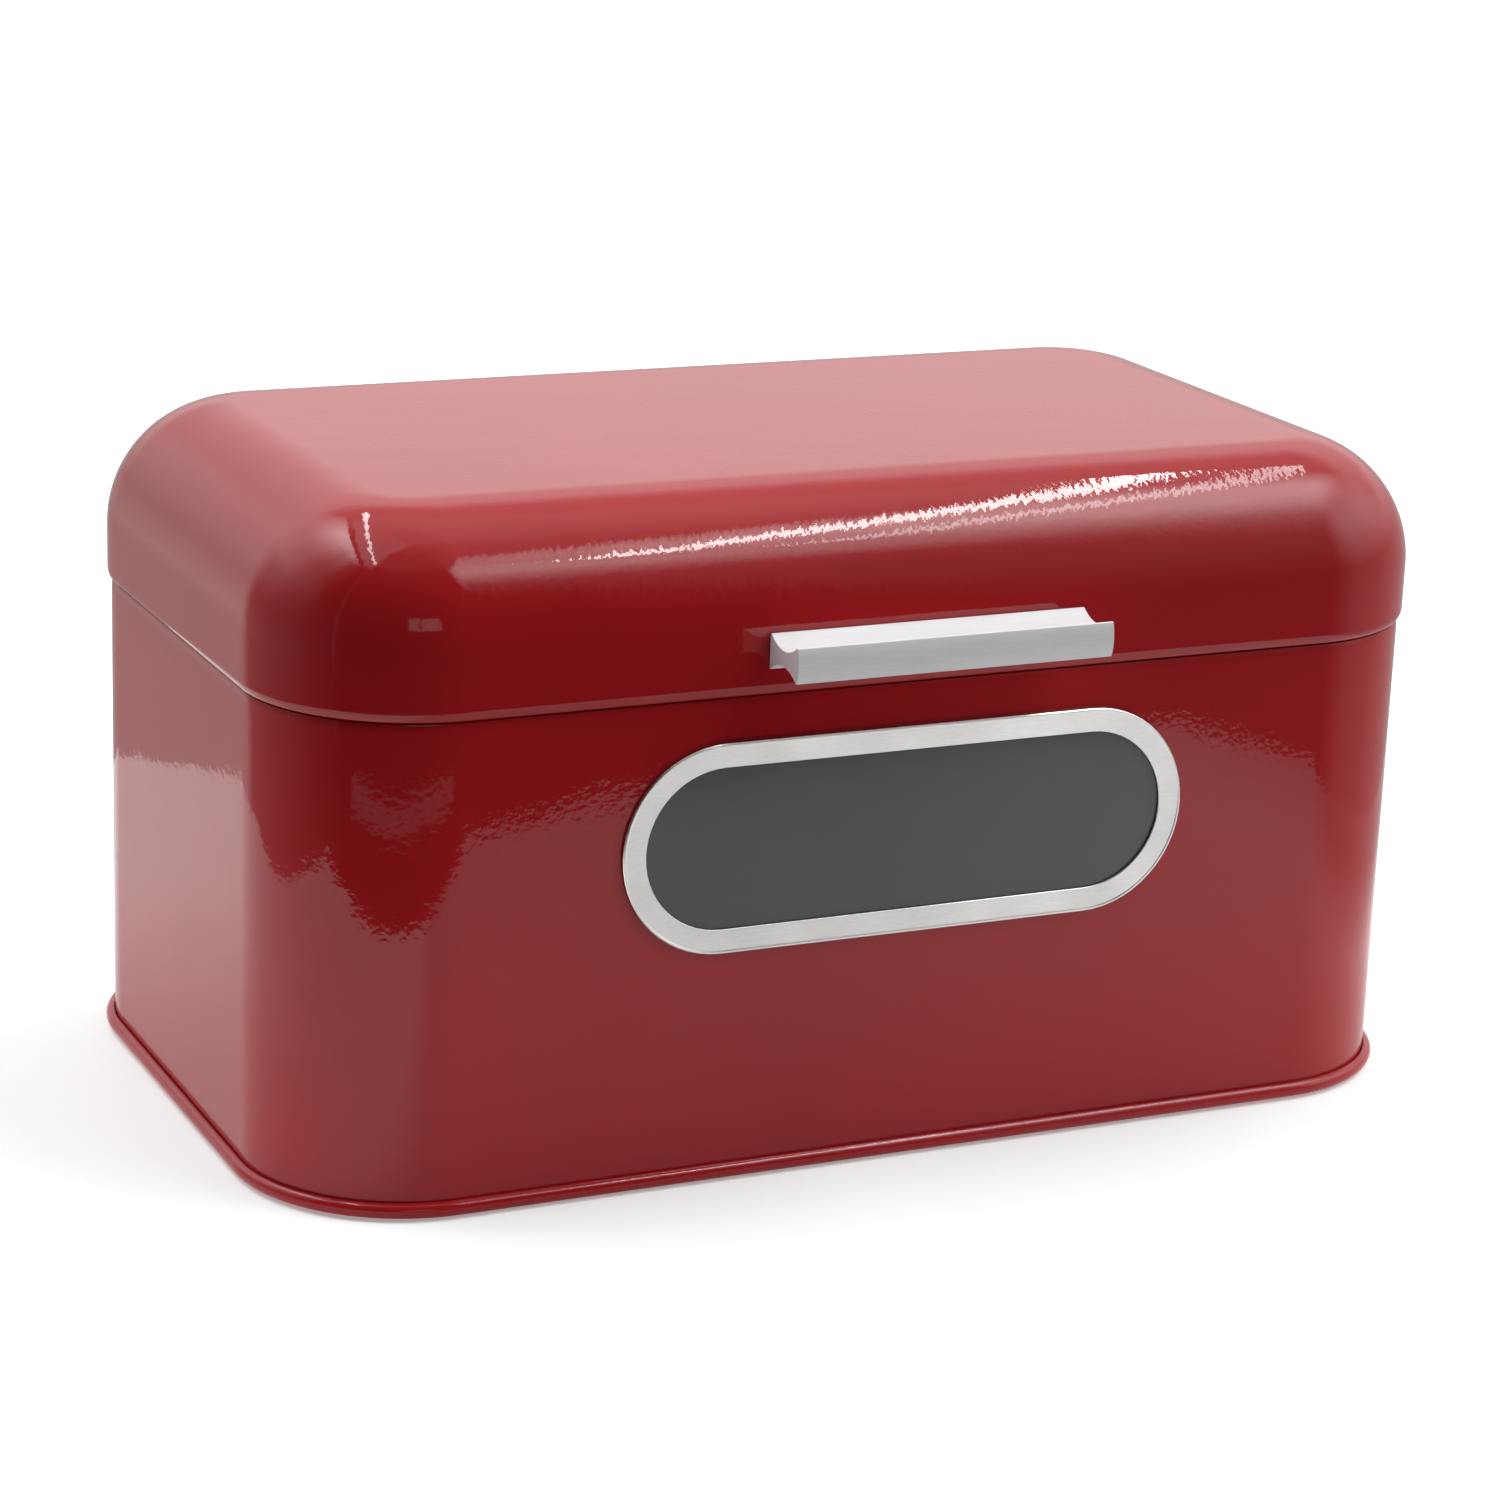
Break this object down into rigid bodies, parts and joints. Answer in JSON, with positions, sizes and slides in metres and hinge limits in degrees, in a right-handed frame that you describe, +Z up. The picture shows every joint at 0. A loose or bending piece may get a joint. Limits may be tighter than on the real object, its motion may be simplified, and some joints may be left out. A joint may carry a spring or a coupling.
{
  "type": "bread bin",
  "caption": "Rounded sheet-steel bread bin with a domed lid hinged at the back, a bar handle on the lid and a long round-ended window in the front.",
  "frame": {"origin": "bottom centre of the bounding box, on the plane the feet stand on", "axes": "+X to the bin's right as seen from the front, -Y the front with the window and handle, +Z up"},
  "size_m": [0.4264, 0.2796, 0.2264],
  "materials": {
    "red_enamel": "high-gloss red enamel with a faint orange peel on sheet steel",
    "brushed_aluminium": "satin anodised, drawn lengthwise",
    "window_steel": "brushed stainless steel",
    "smoke_acrylic": "smoke-tinted clear acrylic",
    "foam_rubber": "matt black foam",
    "zinc_plate": "bright zinc plate",
    "foot_rubber": "matt black rubber"
  },
  "bodies": {
    "body": {"body_shell": "red_enamel", "base_panel": "red_enamel", "inner_collar": "red_enamel", "window_frame": "window_steel", "window_pane": "smoke_acrylic", "window_gasket": "foam_rubber", "window_retainer": "zinc_plate", "hinge_left_body_leaf": "zinc_plate", "hinge_left_pin": "zinc_plate", "rivet_left_body_a": "zinc_plate", "rivet_left_body_b": "zinc_plate", "hinge_right_body_leaf": "zinc_plate", "hinge_right_pin": "zinc_plate", "rivet_right_body_a": "zinc_plate", "rivet_right_body_b": "zinc_plate", "foot_front_left": "foot_rubber", "foot_front_right": "foot_rubber", "foot_back_left": "foot_rubber", "foot_back_right": "foot_rubber"},
    "lid": {"lid_shell": "red_enamel", "handle_bar": "brushed_aluminium", "handle_screw_left": "zinc_plate", "handle_washer_left": "zinc_plate", "handle_screw_right": "zinc_plate", "handle_washer_right": "zinc_plate", "hinge_left_lid_leaf": "zinc_plate", "rivet_left_lid_a": "zinc_plate", "rivet_left_lid_b": "zinc_plate", "hinge_right_lid_leaf": "zinc_plate", "rivet_right_lid_a": "zinc_plate", "rivet_right_lid_b": "zinc_plate"}
  },
  "joints": [
    {"name": "lid_hinge", "type": "hinge", "parent": "body", "child": "lid", "pos_m": [0, 0.13325, 0.1644], "axis": [-1, 0, 0], "range_deg": [0, 100]}
  ]
}
